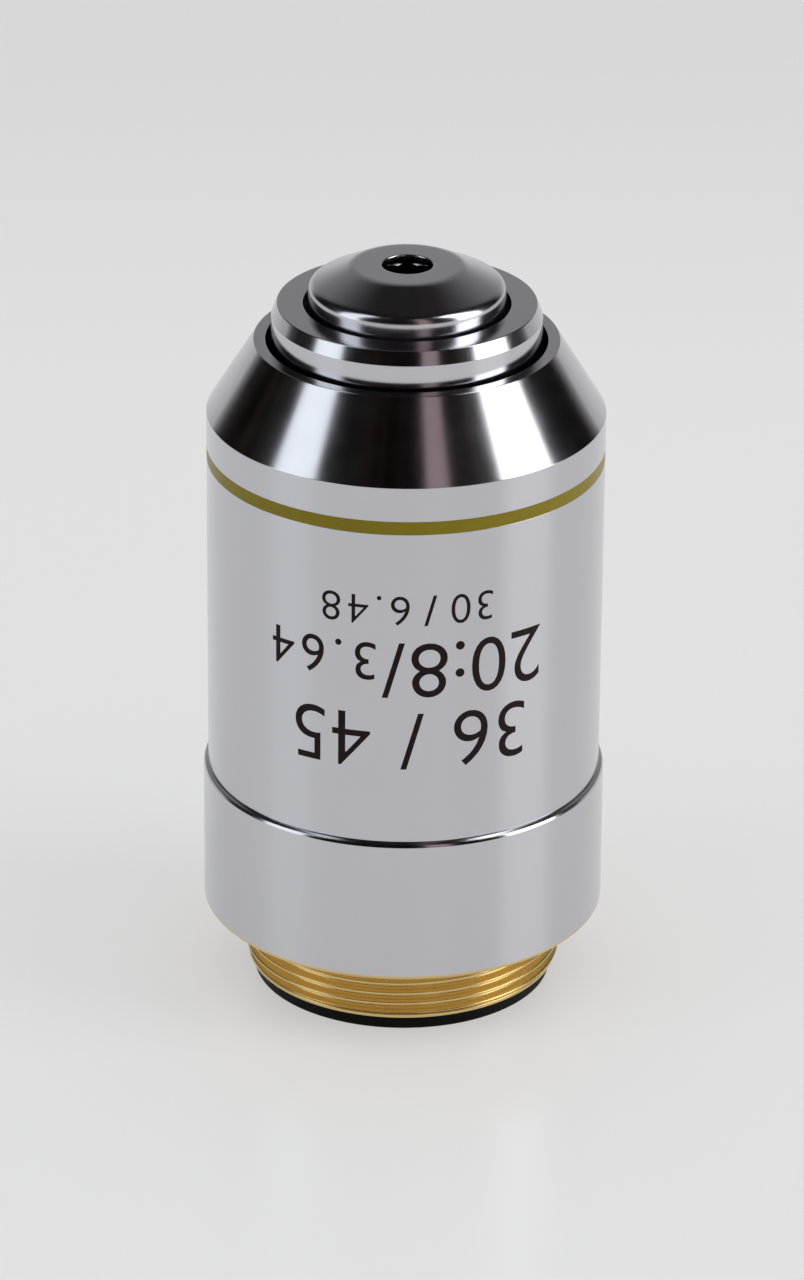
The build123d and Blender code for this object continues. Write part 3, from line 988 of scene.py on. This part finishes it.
# Studio
def studio_world(studio):
    """Pale backdrop behind the table that fades upwards, a pale skirt all round at the table's level,
    and a dark studio with warm patches elsewhere."""
    world = bpy.data.worlds.new("dark_studio")
    world.use_nodes = True
    tree = world.node_tree
    tree.nodes.clear()
    way = add_node(tree, "ShaderNodeTexCoord").outputs["Generated"]
    up = add_node(tree, "ShaderNodeSeparateXYZ", {0: way}).outputs["Z"]
    level = add_node(tree, "ShaderNodeVectorMath", {0: way, 1: (1, 1, 0)}, operation="MULTIPLY")
    level = add_node(tree, "ShaderNodeVectorMath", {0: level}, operation="NORMALIZE")
    back = add_node(tree, "ShaderNodeSeparateXYZ", {0: level}).outputs["Y"]
    behind = add_node(tree, "ShaderNodeMapRange", {
        "Value": back, "From Min": 0.6, "From Max": 0.9, "To Min": 0.0, "To Max": 1.0,
    }, interpolation_type="SMOOTHSTEP")
    fade = add_node(tree, "ShaderNodeValToRGB", {"Fac": up})
    stops = [(0.0, 1.0), (0.15, 0.75), (0.42, 0.36), (0.6, 0.3), (0.75, 0.2), (0.9, 0.02)]
    ramp = fade.color_ramp
    while len(ramp.elements) < len(stops):
        ramp.elements.new(0.5)
    for element, (place, grey) in zip(ramp.elements, stops):
        element.position = place
        element.color = (grey, grey, grey, 1)
    skirt = add_node(tree, "ShaderNodeMapRange", {
        "Value": up, "From Min": 0.0, "From Max": 0.05, "To Min": 1.0, "To Max": 0.0,
    }, interpolation_type="SMOOTHSTEP")
    wall = add_node(tree, "ShaderNodeMath", {0: behind, 1: fade}, operation="MULTIPLY")
    pale = add_node(tree, "ShaderNodeMath", {0: wall, 1: skirt}, operation="MAXIMUM")
    streaks = add_node(tree, "ShaderNodeTexNoise", {
        "Vector": level, "Scale": 5.0, "Detail": 3.0, "Roughness": 0.6,
    })
    lit = add_node(tree, "ShaderNodeMapRange", {
        "Value": streaks, "From Min": 0.5, "From Max": 0.75, "To Min": 0.0, "To Max": 1.0,
    })
    gloom = add_node(tree, "ShaderNodeMixRGB", {"Fac": lit, "Color1": studio.dark, "Color2": studio.glimmer})
    shade = add_node(tree, "ShaderNodeMixRGB", {"Fac": pale, "Color1": gloom, "Color2": studio.backdrop})
    light = add_node(tree, "ShaderNodeBackground", {"Color": shade, "Strength": 1.0})
    add_node(tree, "ShaderNodeOutputWorld", {"Surface": light})
    return world


def add_lamp(name, place, aim, width, height, radiance, tint=(1, 1, 1)):
    """A rectangular lamp at a place, facing along -aim, with one radiance all over. The camera
    doesn't see it."""
    lamp = bpy.data.lights.new(name, "AREA")
    lamp.shape = "RECTANGLE"
    lamp.size = width
    lamp.size_y = height
    lamp.energy = radiance * math.pi * width * height
    lamp.color = tint
    panel = bpy.data.objects.new(name, lamp)
    bpy.context.scene.collection.objects.link(panel)
    panel.location = place
    panel.rotation_euler = Vector(aim).to_track_quat("Z", "Y").to_euler()
    panel.visible_camera = False
    return panel


def upright_panel(name, azimuth, spread, radiance, tint=(1, 1, 1)):
    """A lamp that stands on the table's level, this far round from the camera."""
    studio = bpy.context.scene.objective_studio
    direction = Vector((math.sin(azimuth), -math.cos(azimuth), 0))
    place = direction * studio.distance + Vector((0, 0, studio.height / 2))
    width = 2 * studio.distance * math.tan(spread / 2)
    add_lamp(name, place, direction, width, studio.height, radiance, tint)


def overhead_fill(studio):
    """A wide lamp over the table that softens the shadows. Polished metal doesn't mirror it, as a
    studio hangs it out of the reflections."""
    side = studio.fill_size
    half = side / 2
    slant = math.hypot(half, studio.fill_height)
    view_factor = 4 / math.pi * half / slant * math.atan(half / slant)
    place = (0, 0, studio.fill_height)
    panel = add_lamp("overhead_fill", place, (0, 0, 1), side, side, studio.fill / view_factor)
    panel.visible_glossy = False


# The photograph's camera, worked out from the ellipses of the object's edges
CAMERA_PLACE = (0, -0.362867, 0.192145)
CAMERA_PITCH = math.radians(25.0114)
CAMERA_YAW = math.radians(-0.0241)
CAMERA_ROLL = math.radians(0.45462)
FOCAL_LENGTH_MM = 177.14
SENSOR_WIDTH_MM = 36.0
NEAREST_SEEN = 0.01


def add_camera():
    """The photograph's view of the object."""
    view = bpy.data.cameras.new("photograph_view")
    view.lens = FOCAL_LENGTH_MM
    view.sensor_width = SENSOR_WIDTH_MM
    view.clip_start = NEAREST_SEEN
    camera = bpy.data.objects.new("photograph_view", view)
    bpy.context.scene.collection.objects.link(camera)
    level = math.cos(CAMERA_PITCH)
    forward = Vector((math.sin(CAMERA_YAW) * level, math.cos(CAMERA_YAW) * level, -math.sin(CAMERA_PITCH)))
    right = forward.cross(Vector((0, 0, 1))).normalized()
    up = right.cross(forward)
    rolled_right = math.cos(CAMERA_ROLL) * right + math.sin(CAMERA_ROLL) * up
    rolled_up = math.cos(CAMERA_ROLL) * up - math.sin(CAMERA_ROLL) * right
    turned = Matrix((rolled_right, rolled_up, -forward)).transposed().to_4x4()
    camera.matrix_world = Matrix.Translation(CAMERA_PLACE) @ turned
    bpy.context.scene.camera = camera


class OBJECTIVE_OT_stage(bpy.types.Operator):
    """Set up the table, softboxes, backdrop and camera"""

    bl_idname = "objective.stage"
    bl_label = "Studio"

    def execute(self, context):
        scene = context.scene
        studio = scene.objective_studio
        half = 6.0
        level = -studio.table_gap
        corners = [
            (-half, -half, level),
            (half, -half, level),
            (half, half, level),
            (-half, half, level),
        ]
        mesh = bpy.data.meshes.new("table")
        mesh.from_pydata(corners, [], [(0, 1, 2, 3)])
        mesh.materials.append(pale_acrylic(studio.table))
        new_object("table", mesh)
        scene.world = studio_world(studio)
        upright_panel("softbox_right", studio.right_azimuth, studio.right_spread, studio.right_radiance)
        upright_panel(
            "softbox_left", studio.left_azimuth, studio.left_spread, studio.left_radiance,
            studio.left_tint[:3],
        )
        upright_panel(
            "lit_room", studio.room_azimuth, studio.room_spread, studio.room_radiance, studio.room[:3]
        )
        overhead_fill(studio)
        add_camera()
        scene.view_settings.view_transform = "Standard"
        return {"FINISHED"}


# Panel and registration
class OBJECTIVE_PT_panel(bpy.types.Panel):
    """Buttons for the pieces of the objective"""

    bl_idname = "OBJECTIVE_PT_panel"
    bl_label = "Microscope objective"
    bl_space_type = "VIEW_3D"
    bl_region_type = "UI"
    bl_category = "Objective"

    def draw(self, context):
        for operator in operators:
            self.layout.operator(operator.bl_idname)
        for name, group in settings.items():
            box = self.layout.box()
            box.label(text=group.__doc__)
            for key in group.__annotations__:
                box.prop(getattr(context.scene, name), key)


settings = {
    "objective_turning": TurningSettings,
    "objective_casing": CasingSettings,
    "objective_neck": NeckSettings,
    "objective_barrel": BarrelSettings,
    "objective_marking": MarkingSettings,
    "objective_studio": StudioSettings,
}

operators = (
    OBJECTIVE_OT_stage,
    OBJECTIVE_OT_sleeve,
    OBJECTIVE_OT_band,
    OBJECTIVE_OT_base,
    OBJECTIVE_OT_stop_ring,
    OBJECTIVE_OT_barrel,
    OBJECTIVE_OT_nose,
    OBJECTIVE_OT_numbers,
    OBJECTIVE_OT_inner_pieces,
)


def register():
    """Register the settings, operators and panel."""
    for name, group in settings.items():
        bpy.utils.register_class(group)
        setattr(bpy.types.Scene, name, bpy.props.PointerProperty(type=group))
    for operator in operators:
        bpy.utils.register_class(operator)
    bpy.utils.register_class(OBJECTIVE_PT_panel)


def unregister():
    """Take the panel, operators and settings away again."""
    bpy.utils.unregister_class(OBJECTIVE_PT_panel)
    for operator in reversed(operators):
        bpy.utils.unregister_class(operator)
    for name, group in settings.items():
        delattr(bpy.types.Scene, name)
        bpy.utils.unregister_class(group)


def main():
    """Build the studio and every piece."""
    register()
    make_finishes(bpy.context.scene)
    bpy.ops.objective.stage()
    bpy.ops.objective.sleeve()
    bpy.ops.objective.band()
    bpy.ops.objective.base()
    bpy.ops.objective.stop_ring()
    bpy.ops.objective.barrel()
    bpy.ops.objective.nose()
    bpy.ops.objective.numbers()
    bpy.ops.objective.inner_pieces()


if __name__ == "__main__":
    main()
